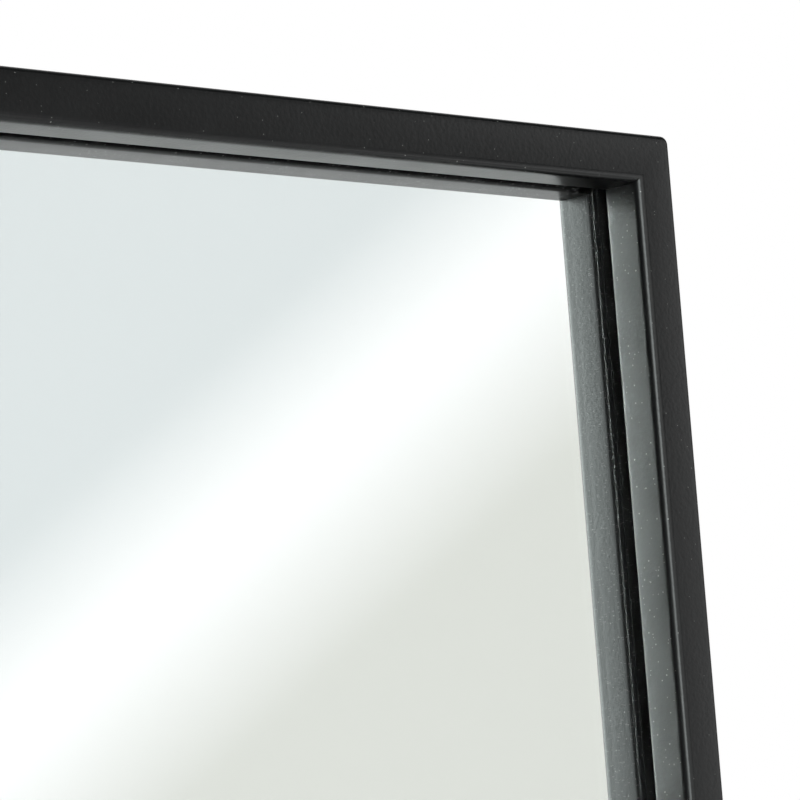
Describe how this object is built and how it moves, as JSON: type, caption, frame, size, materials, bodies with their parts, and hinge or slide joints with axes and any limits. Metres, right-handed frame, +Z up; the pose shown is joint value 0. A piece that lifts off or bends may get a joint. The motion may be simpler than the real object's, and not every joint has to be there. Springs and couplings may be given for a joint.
{
  "type": "leaning floor mirror",
  "caption": "Tall floor mirror that leans on a wall: slim square-tube metal frame with the glass set behind it, backed by a board.",
  "frame": {"origin": "on the floor under the middle of the object's box", "axes": "+Z up, +X to the right for a person facing the glass, -Y out of the glass towards that person"},
  "size_m": [0.7, 0.0394, 1.703],
  "materials": {
    "black_coat": "satin black powder coat with a fine orange-peel skin",
    "glazing_tape": "matt black double-sided foam",
    "mirror_glass": "clear float glass, silvered behind, polished",
    "silver_film": "silvering with grey protective backing film",
    "fibreboard": "raw medium-density fibreboard, sanded",
    "screw_zinc": "bright zinc plate",
    "hanger_steel": "zinc-plated pressed steel, dull",
    "rubber": "matt black rubber"
  },
  "bodies": {
    "root": {"top_rail": "black_coat", "top_rebate_bar": "black_coat", "top_glazing_tape": "glazing_tape", "right_stile": "black_coat", "right_rebate_bar": "black_coat", "right_glazing_tape": "glazing_tape", "bottom_rail": "black_coat", "bottom_rebate_bar": "black_coat", "bottom_glazing_tape": "glazing_tape", "left_stile": "black_coat", "left_rebate_bar": "black_coat", "left_glazing_tape": "glazing_tape", "mirror_glass": "mirror_glass", "silver_film": "silver_film", "back_board": "fibreboard", "top_board_screw_1": "screw_zinc", "top_board_screw_2": "screw_zinc", "top_board_screw_3": "screw_zinc", "right_board_screw_1": "screw_zinc", "right_board_screw_2": "screw_zinc", "right_board_screw_3": "screw_zinc", "right_board_screw_4": "screw_zinc", "right_board_screw_5": "screw_zinc", "bottom_board_screw_1": "screw_zinc", "bottom_board_screw_2": "screw_zinc", "bottom_board_screw_3": "screw_zinc", "left_board_screw_1": "screw_zinc", "left_board_screw_2": "screw_zinc", "left_board_screw_3": "screw_zinc", "left_board_screw_4": "screw_zinc", "left_board_screw_5": "screw_zinc", "left_hanger_plate": "hanger_steel", "left_hanger_screw_upper": "screw_zinc", "left_hanger_screw_lower": "screw_zinc", "left_upper_bumper": "rubber", "left_lower_bumper": "rubber", "left_floor_pad": "rubber", "right_hanger_plate": "hanger_steel", "right_hanger_screw_upper": "screw_zinc", "right_hanger_screw_lower": "screw_zinc", "right_upper_bumper": "rubber", "right_lower_bumper": "rubber", "right_floor_pad": "rubber"}
  },
  "joints": []
}
